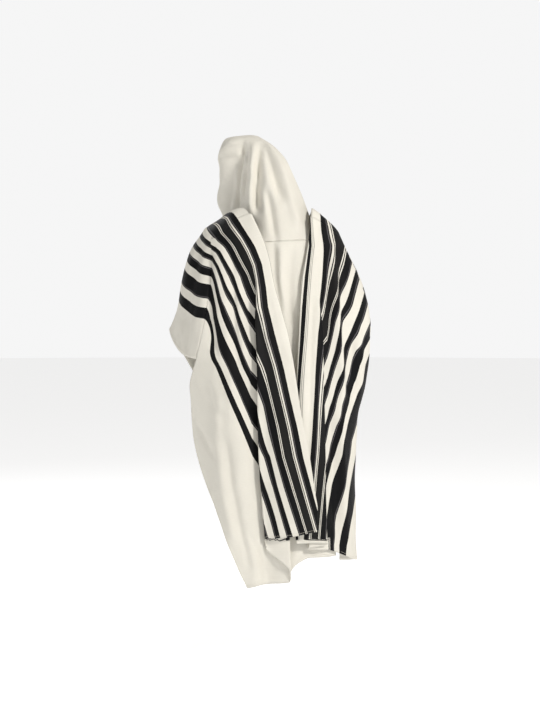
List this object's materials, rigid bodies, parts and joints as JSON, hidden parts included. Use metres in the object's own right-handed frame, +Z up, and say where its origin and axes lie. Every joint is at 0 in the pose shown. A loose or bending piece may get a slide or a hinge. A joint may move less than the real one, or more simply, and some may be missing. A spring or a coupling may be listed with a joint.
{
  "type": "tallit prayer shawl",
  "caption": "Large wool prayer shawl worn over the head and shoulders, hanging in folds down the back, with dark stripes along its ends; hollow and open in front.",
  "frame": {"origin": "under the crown of the hood, where the head carries the shawl", "axes": "+Z up, the wearer faces -Y, +X to the wearer's left"},
  "size_m": [0.683, 0.4219, 1.4499],
  "materials": {
    "wool": "matte woven wool, cream with black stripes"
  },
  "bodies": {
    "root": {"hood": "wool", "back_panel": "wool", "left_drop": "wool", "right_drop": "wool", "left_front": "wool", "right_front": "wool"}
  },
  "joints": []
}
